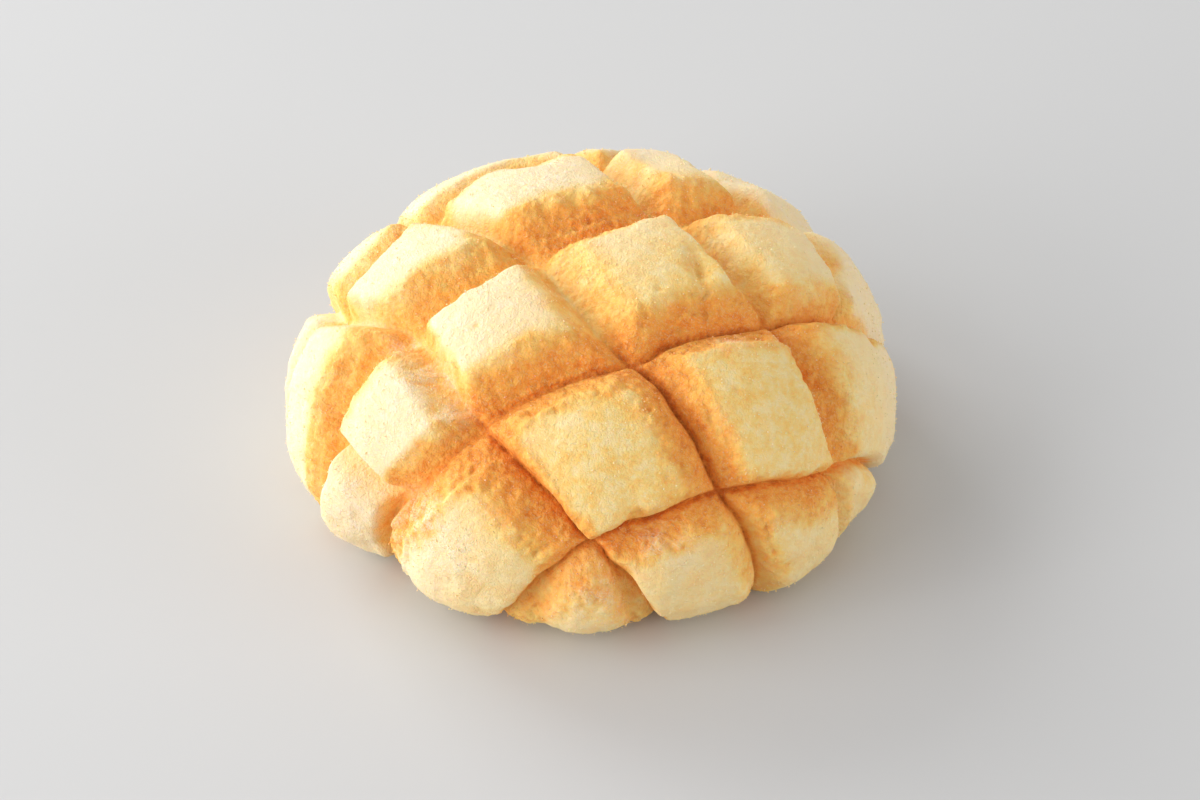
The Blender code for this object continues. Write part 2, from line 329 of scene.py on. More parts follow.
def by_pillow(table, plain):
    """Values of the four sides for every point, from a table by pillow."""
    full = [[table.get((row, column), plain) for column in range(len(COLUMNS) + 1)]
            for row in range(len(ROWS) + 1)]
    return np.array(full, dtype=float)[rows.number, columns.number].T


widths = by_pillow(FLANKS, PLAIN_FLANKS) / 1000
sharp = 1 - smooth(NARROW, WIDE, widths)
up_flank = gaps / widths * (1 + 0.10 * broad + sharp * (0.22 * knobbly + 0.16 * lumpy))
up_flank = np.clip(up_flank, 0, 1)
row_angle = math.radians(ROW_HEADING)
up_sheet = sheet_y * math.cos(row_angle) - sheet_x * math.sin(row_angle)
worn = smooth(-0.029, -0.011, up_sheet)  # 0 where creases stay sharp, 1 where dough filled them
floor_width = FILLED * worn
up_flank = (np.hypot(up_flank, floor_width) - floor_width) / (np.hypot(1, floor_width) - floor_width)
print("flanks are", widths.min() * 1000, "to", widths.max() * 1000, "mm wide")

# %% Relief of the grooves and pillows
GROOVE_DEPTH = 0.0042                # shoulder to crease
PUFF = 0.0020                        # middle of a pillow above its shoulders
PUFF_POWER = 0.6                     # below 1 the top of a pillow is flatter
FULL_RUN = 0.058                     # grooves keep their full depth this far from the crown
RIM_SHARE = 0.85                     # and this share of it at the widest level
ROUNDING = 3                         # a higher power joins two flanks more sharply
DEEPEST = 1.15                       # where two creases cross, against the middle of one
SOFT_POWER, STEEPER = 1.6, 0.5       # the slope of a wide flank, and what a narrow one adds
LIFT = 0.0004                        # pillows stand higher or lower by up to this
TILT = 0.0004                        # and lean by up to this

slopes = (1 - up_flank) ** (SOFT_POWER + STEEPER * sharp)
groove = np.minimum(np.sum(slopes ** ROUNDING, axis=0) ** (1 / ROUNDING), DEEPEST)
toward_rim = np.clip((sheet_run - FULL_RUN) / (RIM_RUN - FULL_RUN), 0, 1)
rim_fade = 1 - (1 - RIM_SHARE) * toward_rim
below_rim = np.clip((sheet_run - RIM_RUN) / (BASE_RUN - RIM_RUN), 0, 1)
plateau = 1 - np.minimum(groove, 1)
chance = random.Random(7)
lifts = np.array([[[chance.uniform(-1, 1) for _ in range(3)] for _ in range(len(COLUMNS) + 1)]
                  for _ in range(len(ROWS) + 1)])[rows.number, columns.number].T
tilted = lifts[1] * rows.side + lifts[2] * columns.side
rise = (PUFF * (rows.middle * columns.middle) ** PUFF_POWER + (LIFT * lifts[0] + TILT * tilted) * plateau
        - GROOVE_DEPTH * groove * rim_fade)
print("flanks and creases cover", round(float(np.mean(groove > 0.1)), 2), "of the sheet")

# %% [markdown]
# ## Browning
# Where the sheet stretched open the thinner dough bakes brown, and each side of a
# pillow browns as far and as deep as the oven reached it. The brown could be painted
# on by hand. A reach and a strength for each side of a pillow, measured from the
# crease, keep it in step with the relief instead, and the same number later makes
# the browned dough rougher. Its edge is ragged, as the sugar melts unevenly.

# %% Browning of every point
# (row, column) of a pillow: reach in mm and strength on its near, right, far and left side
PLAIN_BROWN = ((4, 0.5), (3, 0.4), (3, 0.35), (3.5, 0.45))
BROWN = {(0, 1): ((0, 0), (8.5, 0.50), (7.4, 0.6), (4, 0.4)),
         (0, 2): ((0, 0), (5.5, 0.50), (5.5, 1.0), (1.6, 0.6)),
         (0, 3): ((0, 0), (2, 0.2), (6.2, 0.85), (5.8, 0.5)),
         (0, 4): ((0, 0), (1, 0.2), (1.6, 0.45), (4.5, 0.25)),
         (1, 0): ((5, 0.5), (7, 0.6), (7, 0.6), (3, 0.4)),
         (1, 1): ((2, 0.7), (8.2, 1.0), (7.6, 0.8), (2, 0.3)),
         (1, 2): ((3, 0.55), (6.8, 1.0), (5.8, 0.9), (3, 0.9)),
         (1, 3): ((2, 0.7), (2.6, 0.7), (5.2, 0.95), (4.8, 0.95)),
         (1, 4): ((0.8, 0.4), (1, 0.2), (3.4, 0.8), (6.6, 0.85)),
         (2, 0): ((2.4, 0.4), (4.5, 0.2), (1, 0.2), (1, 0.1)),
         (2, 1): ((4, 0.75), (5, 0.42), (4.6, 0.45), (0.8, 0.2)),
         (2, 2): ((6.6, 1.0), (5.6, 0.45), (2, 0.4), (2.8, 0.5)),
         (2, 3): ((5.8, 1.0), (1.6, 0.6), (3, 1.0), (7.5, 0.45)),
         (2, 4): ((5, 0.6), (0.8, 0.3), (5.4, 0.6), (3.8, 0.45)),
         (2, 5): ((2.6, 0.4), (1, 0.1), (1, 0.2), (3.2, 0.35)),
         (3, 0): ((9, 0.5), (9, 0.4), (1, 0.1), (1, 0.1)),
         (3, 1): ((7.4, 0.6), (5, 0.22), (1, 0.2), (1, 0.1)),
         (3, 2): ((7.5, 0.62), (5.2, 0.38), (3.6, 0.3), (2.6, 0.25)),
         (3, 3): ((8.4, 0.95), (8, 0.15), (4, 0.35), (2, 0.3)),
         (3, 4): ((7.2, 0.85), (2, 0.15), (1, 0.2), (5, 0.35)),
         (3, 5): ((3, 0.25), (1, 0.1), (1, 0.1), (2.2, 0.5)),
         (4, 1): ((3, 0.3), (2, 0.2), (2, 0.3), (2, 0.3)),
         (4, 2): ((6, 0.4), (5, 0.3), (2, 0.2), (5, 0.3)),
         (4, 3): ((5, 0.35), (3, 0.2), (2, 0.2), (4, 0.35))}
LEAST_REACH = 0.0006                 # keeps the division below safe where a side stays pale
BROWN_FROM, BROWN_TO = 0.4, 1.7      # shares of the reach at which the brown starts to fade, and ends

reach, strength = by_pillow(BROWN, PLAIN_BROWN)
ragged = 0.0010 * lumpy + 0.0009 * knobbly + 0.0006 * broad
reached = (gaps + ragged) / np.maximum(reach / 1000, LEAST_REACH)
browned = strength * (1 - smooth(BROWN_FROM, BROWN_TO, reached))
browning = np.clip(1 - np.prod(1 - browned, axis=0), 0, 1)
print("browned share of the sheet", round(float(np.mean(browning > 0.5)), 2))

# %% [markdown]
# ## Fine relief
# Browned flanks are pebbly and wrinkled along the crease, because the dough tore
# and crept there as it rose. On some sides a torn step runs along the edge of the
# brown. The tops are smoother, with soft dimples, a few pits from burst bubbles,
# places where the dough swelled or stayed back, and one pillow folded on itself.
# All of it is added to the height over the body, so it is true shape and catches
# the light from any side. The pits and folds also get painted shade, a slightly
# browner colour that is kept with the browning.

# %% Wrinkles, pebbles and creases
WRINKLE_GAP = 0.0024                 # from one wrinkle to the next
PRESSED, PRESSED_REACH = 0.00030, 0.00070    # depth and half width of the line the cutter pressed
# (row, column) of a pillow: height in mm of the torn step on its near, right, far and left side
TORN_STEPS = {(1, 3): (0, 0, 0.8, 0.3), (3, 3): (0.7, 0, 0, 0), (3, 2): (0.5, 0.3, 0, 0),
              (0, 2): (0, 0, 0.4, 0), (1, 1): (0, 0.2, 0.4, 0), (2, 2): (0.2, 0, 0, 0.2),
              (1, 2): (0, 0.2, 0.3, 0), (3, 4): (0.4, 0, 0, 0), (2, 1): (0, 0.3, 0, 0),
              (1, 4): (0, 0, 0.4, 0.2)}

torn = by_pillow(TORN_STEPS, (0, 0, 0, 0)) / 1000
rise -= np.sum(torn * (1 - smooth(0.85, 1.08, reached)) * smooth(0.15, 0.5, reached), axis=0)
flank = smooth(0.15, 0.6, browning) * smooth(0.0004, 0.0016, from_crease)
creep = from_crease + 0.0009 * lumpy + 0.0004 * knobbly
wrinkle = np.sin(creep * (2 * math.pi / WRINKLE_GAP)) * smooth(-0.25, 0.35, wander(0.009, 8))
pebbles = 1 - np.abs(wander(0.0017, 9)) * 3
# each small number in these sums is the height in metres of one kind of unevenness
rise += flank * (0.00032 * wrinkle + 0.00042 * knobbly + 0.00030 * grainy + 0.00028 * pebbles)
rise += plateau * (0.00018 * lumpy + 0.00026 * broad + 0.00009 * knobbly + 0.00007 * grainy)
rise += plateau * toward_rim * (0.00022 * lumpy + 0.00016 * knobbly)
rise -= PRESSED * np.exp(-(from_crease / PRESSED_REACH) ** 2) * (1 + 0.4 * lumpy) * (1 - 0.8 * worn)
print("relief spans", round(float(np.ptp(rise)) * 1000, 1), "mm")

# %% Pits, bulges and folds
# place in mm on the sheet, then size and depth in mm
PITS = ((11, -12, 0.7, 0.45), (64, -31, 1.6, 1.0), (57, -39, 1.5, 0.9), (-20.5, -19, 0.5, 0.25),
        (-7, -41, 0.5, 0.25), (13, -47.5, 0.6, 0.3), (24.5, -30.5, 0.7, 0.3), (30.5, -38, 0.6, 0.3),
        (18, -5.5, 3, 0.7))
# place in mm on the sheet, then size and height in mm of a place that rose or stayed back
BULGES = ((45, 17, 8, 1.4), (41, 28, 5, -1.6), (32, 28, 3, 0.8), (26, 34, 4, -0.8), (11, 32, 7, -1.4),
          (-12, 31, 4, -1.9), (-38, 29, 4, -1.7), (-38, 19, 4, 0.6), (-61, -1, 10, 0.6), (-63, -38, 6, 0.7),
          (-63, -49, 3, -0.9), (-65, -53, 3, 0.8), (62, -3, 6, -0.7), (49, -65, 2.5, -1.3), (56, -48, 4, 0.8),
          (66, -29, 5, 0.7), (38, -66, 4, 0.7))
# one end, the other end, width and depth, in mm
FOLDS = ((18, -6, 19, -14.5, 1.1, 0.6), (17, -1.5, 18.5, -7, 1.5, 0.6))
FOLD_SHADE, PIT_SHADE = 0.35, 0.30   # painted shade: folds and pits are coloured a little browner than the top round them

pit_shade = np.zeros_like(sheet_x)
for pit_x, pit_y, size, sink in PITS:
    away = np.hypot(cut_x * 1000 - pit_x, cut_y * 1000 - pit_y)
    hollow = np.exp(-(away / size) ** 2)
    rise -= sink / 1000 * hollow
    pit_shade = np.maximum(pit_shade, hollow)
for bulge_x, bulge_y, size, lift in BULGES:
    away = np.hypot(sheet_x * 1000 - bulge_x, sheet_y * 1000 - bulge_y)
    rise += lift / 1000 * np.exp(-(away / size) ** 2)
for x0, y0, x1, y1, size, sink in FOLDS:
    span = np.array([x1 - x0, y1 - y0])
    part = ((cut_x * 1000 - x0) * span[0] + (cut_y * 1000 - y0) * span[1]) / span.dot(span)
    part = np.clip(part, 0, 1)
    away = np.hypot(cut_x * 1000 - x0 - part * span[0], cut_y * 1000 - y0 - part * span[1])
    rise -= sink / 1000 * np.exp(-(away / size) ** 2)
    browning = np.maximum(browning, FOLD_SHADE * np.exp(-(away / size) ** 2))
# the painted shade of the folds, above, and of the pits goes into the browning
browning = np.maximum(browning, PIT_SHADE * pit_shade)
print("with", len(PITS), "pits,", len(BULGES), "bulges and", len(FOLDS), "folds the relief spans",
      round(float(np.ptp(rise)) * 1000, 1), "mm")

# %% [markdown]
# ## Draping
# Now the flat sheet meets the body, as it does under the baker's hands. Every point
# goes to its place on the smooth dome first, and the normals there say which way
# is out. The height worked out above then moves the point along its normal. Below
# the widest level the relief dies away, because the underside lay on the tray.

# %% Drape the sheet over the body
AXIS = np.array((0.0008, -0.0012))   # the body's upright axis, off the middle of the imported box
body = drape(sheet_x, sheet_y)
write_places(crust.data, body)
outward = read_normals(crust.data)
shaped = body + outward * (rise * (1 - below_rim ** 2))[:, None]
shaped[:, :2] += AXIS
shaped[:, 2] = np.maximum(shaped[:, 2], 0)
write_places(crust.data, shaped)
crust.data.shade_smooth()
spread = (shaped.max(axis=0) - shaped.min(axis=0)) * 1000
print("crust measures", spread.round(1), "mm")

# %% [markdown]
# ## Pale dough, painted highlight and white sugar
# The sugar on the sheet melts to a pale haze. It is thick on the side of the bun
# toward the windows, where it is painted highlight as well as sugar, and at the
# back, thin in front, and it frosts the edge of the brown in patches.
# These, the browning and the distances to the creases are kept with the mesh as
# named numbers, one at every point, so that the material can read them. A picture
# wrapped round the bun would do the same, but would need an unwrapped surface.

# %% Paleness and frost
def store(mesh, name, values):
    """A named number at every point, for the material to read."""
    mesh.attributes.new(name, "FLOAT", "POINT").data.foreach_set("value", values)


LIT_SIDE_HEADING = math.radians(150)     # toward the windows: the haze is thick here, painted highlight as well as sugar, and thin on the other side
toward_lit_side = sheet_x * math.cos(LIT_SIDE_HEADING) + sheet_y * math.sin(LIT_SIDE_HEADING)
toward_back = (sheet_x + sheet_y) * math.sqrt(0.5)
pale = np.maximum(0.93 * smooth(-0.022, 0.014, toward_lit_side), 0.80 * smooth(0.010, 0.046, toward_back))
pale = np.maximum(pale, 0.30 * smooth(0.050, 0.064, sheet_run))
brown_edge = smooth(0.02, 0.30, browning) * (1 - smooth(0.35, 0.7, browning))
frost = 0.15 * brown_edge * smooth(-0.3, 0.4, lumpy)
# place in mm on the sheet, then size in mm and thickness of a patch of white sugar
FROSTS = ((-32, -25, 4.5, 0.9), (-37, -16, 3.5, 0.6), (-28, -33, 3.5, 0.8), (-43, -50, 5, 0.7),
          (-34, -53, 6, 0.8), (-28, -59, 5, 0.7), (1, -65, 2.2, 0.4), (12, -60, 3, 0.5), (18, -61, 3, 0.5),
          (24, -20, 2.5, 0.5), (34, -17, 2.5, 0.5), (0, -73, 7, 0.5))
for frost_x, frost_y, size, thickness in FROSTS:
    away = np.hypot(sheet_x * 1000 - frost_x, sheet_y * 1000 - frost_y)
    patch = thickness * np.exp(-(away / size) ** 2) * smooth(-0.5, 0.3, knobbly + grainy)
    frost = np.maximum(frost, patch)
store(crust.data, "browning", browning)
store(crust.data, "frost", frost)
store(crust.data, "pale", pale)
store(crust.data, "worn", worn)
store(crust.data, "row_crease", rows.crease * 1000)
store(crust.data, "column_crease", columns.crease * 1000)
print("frosted share of the sheet", round(float(np.mean(frost > 0.3)), 2))

# %% [markdown]
# ## The turned edge
# The sheet ends under the bun, where it curls in against the bread. The open edge
# is extruded inwards in three short steps, each lifted a little, and the ring
# that is left is merged to one point. The edge is picked by its height, and this
# has a known fault. The bisect left some points up to a tenth of a millimetre off
# its plane, so five stretches of the edge aren't picked and stay open, as narrow
# slots that show only from below. The last line counts their edges. Picking every
# edge that belongs to one face alone would close the shell all round.

# %% Turn the edge under
# share of its width that the ring keeps, and its lift in metres, at each step
LIP_STEPS = ((0.988, 0.0003), (0.965, 0.0016), (0.90, 0.0040))
LAST_LIFT = 0.0005                   # of the middle point that the ring is merged to


def deselect_parts(mesh):
    """Deselects all vertices, edges and faces, so that only what is picked next is selected."""
    for parts in (mesh.vertices, mesh.edges, mesh.polygons):
        parts.foreach_set("select", np.zeros(len(parts), dtype=bool))


on_edge = np.abs(ball[:, 2] - OPEN_LEVEL) < 1e-6
clear_selection()
bpy.context.view_layer.objects.active = crust
crust.select_set(True)
deselect_parts(crust.data)
for edge in crust.data.edges:
    edge.select = bool(on_edge[edge.vertices[0]] and on_edge[edge.vertices[1]])
crust.data.vertices.foreach_set("select", on_edge)
bpy.ops.object.mode_set(mode="EDIT")
bpy.ops.mesh.select_mode(type="EDGE")
for shrink, lift in LIP_STEPS:
    bpy.ops.mesh.extrude_edges_move(TRANSFORM_OT_translate={"value": (0, 0, lift)})
    bpy.ops.transform.resize(value=(shrink, shrink, 1), center_override=(AXIS[0], AXIS[1], 0))
bpy.ops.mesh.extrude_edges_move(TRANSFORM_OT_translate={"value": (0, 0, LAST_LIFT)})
bpy.ops.mesh.merge(type="CENTER")
bpy.ops.mesh.select_all(action="SELECT")
bpy.ops.mesh.normals_make_consistent(inside=False)
bpy.ops.object.mode_set(mode="OBJECT")
print("crust:", len(crust.data.polygons), "faces, lowest point",
      round(min(vertex.co.z for vertex in crust.data.vertices) * 1000, 2), "mm")
faces_of = {}
for face in crust.data.polygons:
    for edge_key in face.edge_keys:
        faces_of[edge_key] = faces_of.get(edge_key, 0) + 1
print("edges of the crust that are open:", sum(count == 1 for count in faces_of.values()))

# %% [markdown]
# ## Shader sums in Python
# A material is a tree of nodes, and long sums of Math nodes are hard to read.
# This class wraps a socket so that plain Python sums build those nodes.

# %% A socket that works in sums
class Signal:
    """One output of a shader node, or a number, for use in Python sums."""

    def __init__(self, tree, socket):
        self.tree = tree
        self.socket = socket

    def node(self, kind, settings=None, sockets=None, output=0):
        """Adds any other node: its settings first, then the values or links of its sockets."""
        made = self.tree.nodes.new(kind)
        for name, value in (settings or {}).items():
            if name == "stops":
                set_stops(made.color_ramp, value)
            else:
                setattr(made, name, value)
        for name, value in (sockets or {}).items():
            if isinstance(value, Signal):
                self.tree.links.new(value.socket, made.inputs[name])
            else:
                made.inputs[name].default_value = value
        return Signal(self.tree, made.outputs[output])

    def math(self, operation, *values):
        """Adds a Math node that works on the values."""
        return self.node("ShaderNodeMath", {"operation": operation}, dict(enumerate(values)))

    def __add__(self, other):
        return self.math("ADD", self, other)

    __radd__ = __add__

    def __sub__(self, other):
        return self.math("SUBTRACT", self, other)

    def __rsub__(self, other):
        return self.math("SUBTRACT", other, self)

    def __mul__(self, other):
        return self.math("MULTIPLY", self, other)

    __rmul__ = __mul__

    def size(self):
        """The number without its sign."""
        return self.math("ABSOLUTE", self)

    def ease(self, low_end, high_end):
        """0 below one end, 1 above the other."""
        return self.node("ShaderNodeMapRange", {"interpolation_type": "SMOOTHSTEP"},
                         {0: self, 1: low_end, 2: high_end, 3: 0.0, 4: 1.0})

    def blend(self, first, second):
        """The first colour where this is 0, the second where it is 1."""
        return self.node("ShaderNodeMix", {"data_type": "RGBA"}, {0: self, 6: first, 7: second}, 2)


# %% Helpers for colours and materials
def set_stops(ramp, stops):
    """Gives a colour ramp its stops, each a place and a colour."""
    while len(ramp.elements) > 1:
        ramp.elements.remove(ramp.elements[-1])
    ramp.elements[0].position, ramp.elements[0].color = stops[0]
    for position, shade in stops[1:]:
        ramp.elements.new(position).color = shade


def colour(red, green, blue):
    """A colour named by its 0 to 255 screen values, as linear light."""
    linear = [((part / 255 + 0.055) / 1.055) ** 2.4 for part in (red, green, blue)]
    return (*linear, 1.0)


def begin(name):
    """A new material: its Principled shader and the Object coordinates to start sums from."""
    material = bpy.data.materials.new(name)
    material.use_nodes = True
    tree = material.node_tree
    shader = tree.nodes["Principled BSDF"]
    places = Signal(tree, tree.nodes.new("ShaderNodeTexCoord").outputs["Object"])
    return material, shader, places


def feed(shader, **links):
    """Links sums to the shader's sockets, with _ for a space in a socket's name."""
    for name, signal in links.items():
        signal.tree.links.new(signal.socket, shader.inputs[name.replace("_", " ")])


def speckle(places, size, detail=2.0, roughness=0.5):
    """Noise between 0 and 1 in lumps of a size in metres."""
    return places.node("ShaderNodeTexNoise", {"noise_dimensions": "3D"},
                       {"Vector": places, "Scale": 1 / size, "Detail": detail, "Roughness": roughness})


def stored(places, name):
    """A number that was stored at every point of the mesh."""
    return places.node("ShaderNodeAttribute", {"attribute_name": name}, output="Fac")


# %% [markdown]
# ## Baked cookie dough
# The colour runs from cream through gold and orange to brown. The stored browning
# picks the place on that ramp, noise at three sizes mottles it, and the crease gets
# a thin darker line, darker still where two creases cross: browner dough along the
# cut, and painted shade in the floor of the groove and in the pit where two cross.
# Where dough filled a crease from beneath, less shade is painted and the line is a
# little paler instead. Over that lie the sugar specks, the pale haze, which is
# partly painted highlight on the side toward the windows, and the frost. Dough lets
# some light in and scatters it, so the shader has a little subsurface. The bump
# adds only what is finer than the mesh can hold: the sandy grain of the sugar in
# the dough.

# %% Colours and crumbs of the baked dough
BAKE_STOPS = ((0.0, colour(250, 222, 160)), (0.2, colour(250, 212, 128)), (0.4, colour(250, 196, 100)),
              (0.6, colour(249, 175, 76)), (0.8, colour(243, 152, 54)), (0.92, colour(228, 130, 38)),
              (1.0, colour(210, 108, 22)))


def bake_shade(places, tone):
    """The colour of dough baked to a tone between 0 and 1."""
    return places.node("ShaderNodeValToRGB", {"stops": BAKE_STOPS}, {0: tone})


def crumble(places, size):
    """0 on top of each rounded crumb of a size in metres, rising toward the gaps between."""
    return places.node("ShaderNodeTexVoronoi", {"feature": "SMOOTH_F1"},
                       {"Vector": places, "Scale": 1 / size, "Smoothness": 0.4})


# %% Colour of the crust
LINE_CORE, LINE_EDGE = 0.1, 1.3      # mm from a crease where its dark line, browner dough and painted shade, starts to fade, and ends
dough, dough_shader, places = begin("baked_cookie_dough")
mottle = speckle(places, 0.0036, 3.0) - 0.5
fine = speckle(places, 0.0011, 3.0) - 0.5
sandy = speckle(places, 0.00034, 2.0) - 0.5
crumb = crumble(places, 0.0010)
brown_and_dent_shade = stored(places, "browning")
pale = stored(places, "pale")
rough = 0.30 + 0.70 * brown_and_dent_shade
line_row = 1 - stored(places, "row_crease").size().ease(LINE_CORE, LINE_EDGE)
line_column = 1 - stored(places, "column_crease").size().ease(LINE_CORE, LINE_EDGE)
kept = 1 - 1.5 * stored(places, "worn")      # below 0 where dough filled a crease, so less shade is painted there and the line is paler
crease_brown_and_shade = line_row.math("MAXIMUM", line_row, line_column) * kept
crossing_brown_and_shade = line_row * line_column * kept
mottling = (0.90 - 0.30 * brown_and_dent_shade) * mottle + (0.70 - 0.15 * brown_and_dent_shade) * fine + (0.55 - 0.10 * brown_and_dent_shade) * sandy
tone = 0.17 + 0.60 * brown_and_dent_shade + 0.22 * crease_brown_and_shade + 0.20 * crossing_brown_and_shade + mottling
baked = bake_shade(places, tone + 0.12 * rough * (crumb - 0.45))
clear = 1 - 0.85 * crease_brown_and_shade
# specks of sugar, then the pale haze, partly painted highlight on the side toward the windows, then the
# frost, each laid over what is below
specks = (sandy + 0.5).ease(0.48, 0.66) * (0.20 + 0.30 * brown_and_dent_shade) * clear
speck_colour = brown_and_dent_shade.ease(0.1, 0.7).blend(colour(252, 232, 188), colour(250, 208, 140))
sugared = specks.blend(baked, speck_colour)
thin = (1 - brown_and_dent_shade.ease(0.0, 0.38)) * (1 - 0.6 * crease_brown_and_shade)
# the pale haze is melted sugar, and painted highlight where the bun faces the windows
sugar_haze_and_highlight = (pale * thin * (0.78 + 1.1 * mottle + 1.3 * fine + 0.8 * sandy)).blend(sugared, colour(248, 228, 194))
frosted = stored(places, "frost") * (0.25 + 0.65 * (sandy + 0.5).ease(0.38, 0.60)) * clear
skin = frosted.blend(sugar_haze_and_highlight, colour(250, 238, 214))
feed(dough_shader, Base_Color=skin)
print("colour of the crust takes", len(dough.node_tree.nodes), "nodes")

# %% Grain and finish of the crust
height = sandy * 0.7 + fine * 0.7 - 0.8 * rough * crumb
bumped = places.node("ShaderNodeBump", {}, {"Strength": 0.8, "Distance": 0.0005, "Height": height})
feed(dough_shader, Normal=bumped)
dough_shader.inputs["Roughness"].default_value = 0.72
dough_shader.inputs["Subsurface Weight"].default_value = 0.25
dough_shader.inputs["Subsurface Radius"].default_value = (1.0, 0.45, 0.18)
dough_shader.inputs["Subsurface Scale"].default_value = 0.0030
dough_shader.inputs["Specular IOR Level"].default_value = 0.35
crust.data.materials.append(dough)
print("with its grain the crust's material has", len(dough.node_tree.nodes), "nodes")

# %% [markdown]
# ## The bread under the crust
# The sheet stops at the edge of the base, and the bread it covers shows there as
# a low flat-bottomed round, baked brown where it met the tray. A cylinder is a
# good start: its rims are bevelled, its flat faces are inset so that no face is a
# long sliver, and its plan takes the same swells as the crust.

# %% Bread base
BREAD_RADIUS = (MEAN_RADIUS - BELLY) * 0.985     # just inside the flat base of the crust
BREAD_HEIGHT = 0.0060
BREAD_BEVEL = 0.0016
BREAD_SIDES = 240
INSETS = (0.0012, 0.0030, 0.0060, 0.0100)


def pick_faces(piece, wanted):
    """Selects the faces that a test on the face says yes to, and nothing else."""
    deselect_parts(piece.data)
    for face in piece.data.polygons:
        face.select = wanted(face)


clear_selection()
bpy.ops.mesh.primitive_cylinder_add(vertices=BREAD_SIDES, radius=BREAD_RADIUS, depth=BREAD_HEIGHT,
                                    location=(0, 0, BREAD_HEIGHT / 2))
bread = bpy.context.object
bread.name = "bread_base"
bpy.ops.object.transform_apply(location=True, rotation=True, scale=True)
pick_faces(bread, lambda face: abs(face.normal.z) > 0.9)
bpy.ops.object.mode_set(mode="EDIT")
bpy.ops.mesh.select_mode(type="FACE")
bpy.ops.mesh.bevel(offset=BREAD_BEVEL, segments=4, affect="EDGES", clamp_overlap=True)
bpy.ops.object.mode_set(mode="OBJECT")
for inset in INSETS:
    pick_faces(bread, lambda face: abs(face.normal.z) > 0.99 and len(face.vertices) > 4)
    bpy.ops.object.mode_set(mode="EDIT")
    bpy.ops.mesh.inset(thickness=inset, depth=0)
    bpy.ops.object.mode_set(mode="OBJECT")

bread_places = read_places(bread.data)
bread_azimuth = np.arctan2(bread_places[:, 1], bread_places[:, 0])
bread_places[:, :2] *= outline(bread_azimuth)[:, None]
bread_places[:, :2] += AXIS
write_places(bread.data, bread_places)
bread.data.shade_smooth()
print("bread base:", len(bread.data.polygons), "faces")

# %% Material of the bread
loaf, loaf_shader, places = begin("baked_bread_base")
blotch = speckle(places, 0.009, 3.0) - 0.5
pores = speckle(places, 0.0013, 2.0) - 0.5
BREAD_STOPS = ((0.0, colour(240, 196, 128)), (0.5, colour(214, 146, 74)), (1.0, colour(158, 92, 42)))
loaf_tone = 0.55 + 0.9 * blotch + 0.4 * pores
feed(loaf_shader, Base_Color=places.node("ShaderNodeValToRGB", {"stops": BREAD_STOPS}, {0: loaf_tone}),
     Normal=places.node("ShaderNodeBump", {}, {"Strength": 0.5, "Distance": 0.0003, "Height": pores}))
loaf_shader.inputs["Roughness"].default_value = 0.7
bread.data.materials.append(loaf)
print("bread material has", len(loaf.node_tree.nodes), "nodes")

# %% [markdown]
# ## Sugar
# The sheet is dipped in sugar before it bakes. Most grains melt into the crust, and
# the ones left are little blocks of a tenth to a quarter of a millimetre. One grain
# is modelled as a flattened cube of six faces, because thousands of copies have to
# stay light. The copies lie thickest on the frost, each turned its own way and sunk
# a little into the dough, and all of them are one mesh.

# %% One grain of sugar
clear_selection()
bpy.ops.mesh.primitive_cube_add(size=1)
grain = bpy.context.object
bpy.ops.object.mode_set(mode="EDIT")
bpy.ops.mesh.select_all(action="SELECT")
bpy.ops.transform.resize(value=(1.0, 0.8, 0.7))
bpy.ops.object.mode_set(mode="OBJECT")
grain_places = read_places(grain.data)
grain_faces = np.array([face.vertices[:] for face in grain.data.polygons])
grain_mesh = grain.data
bpy.data.objects.remove(grain)
bpy.data.meshes.remove(grain_mesh)
print("one grain:", len(grain_places), "points,", len(grain_faces), "faces")

# %% Turning and sticking on the grains
GRAIN_JITTER = 0.00025               # off the vertex of the crust that a grain lies at
draw = np.random.default_rng(11)


def random_turns(count):
    """Rotation matrices from random quaternions."""
    w, x, y, z = draw.normal(size=(4, count))
    length = np.sqrt(w * w + x * x + y * y + z * z)
    w, x, y, z = w / length, x / length, y / length, z / length
    return np.stack([1 - 2 * (y * y + z * z), 2 * (x * y - z * w), 2 * (x * z + y * w),
                     2 * (x * y + z * w), 1 - 2 * (x * x + z * z), 2 * (y * z - x * w),
                     2 * (x * z - y * w), 2 * (y * z + x * w), 1 - 2 * (x * x + y * y)],
                    axis=1).reshape(count, 3, 3)


def scatter(name, count, sizes, weight, stand):
    """One mesh of grains stuck on the crust, thickest where the weight is high."""
    normals = read_normals(crust.data)
    places = read_places(crust.data)
    spots = draw.choice(len(weight), size=count, p=weight / weight.sum())
    size = sizes[0] + (sizes[1] - sizes[0]) * draw.random(count) ** 2
    jitter = draw.uniform(-GRAIN_JITTER, GRAIN_JITTER, size=(count, 3))
    centres = places[spots] + jitter + normals[spots] * (size * stand)[:, None]
    turned = np.einsum("nij,kj->nki", random_turns(count), grain_places)
    points = centres[:, None, :] + turned * size[:, None, None]
    faces = grain_faces[None, :, :] + (np.arange(count) * len(grain_places))[:, None, None]
    mesh = bpy.data.meshes.new(name)
    mesh.from_pydata(points.reshape(-1, 3).tolist(), [], faces.reshape(-1, 4).tolist())
    mesh.update()
    store(mesh, "browning", np.repeat(browning[spots], len(grain_places)))
    piece = bpy.data.objects.new(name, mesh)
    bpy.context.collection.objects.link(piece)
    return piece


